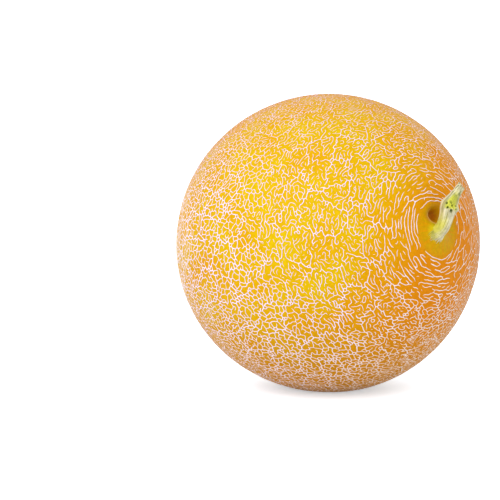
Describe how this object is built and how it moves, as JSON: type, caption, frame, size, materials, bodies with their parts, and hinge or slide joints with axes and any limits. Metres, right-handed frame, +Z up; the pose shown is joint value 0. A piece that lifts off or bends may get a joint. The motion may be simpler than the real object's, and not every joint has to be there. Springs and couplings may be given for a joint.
{
  "type": "netted melon",
  "caption": "Round whole netted melon with a raised cork net, a bare hollow and pit at the stem end and a torn, bent stub of its stem.",
  "frame": {"origin": "middle of the flat spot on which the fruit rests", "axes": "+Z up, away from what it rests on; +X along the length of the fruit towards the stem end, which is raised 10 degrees; +Y across"},
  "size_m": [0.162, 0.1498, 0.1482],
  "materials": {
    "rind": "golden orange skin under a pale raised cork net, satin skin and dry net",
    "stem_bark": "dry, pale greenish cream, fibrous, with a green torn core"
  },
  "bodies": {
    "root": {"fruit": "rind", "stem": "stem_bark"}
  },
  "joints": []
}
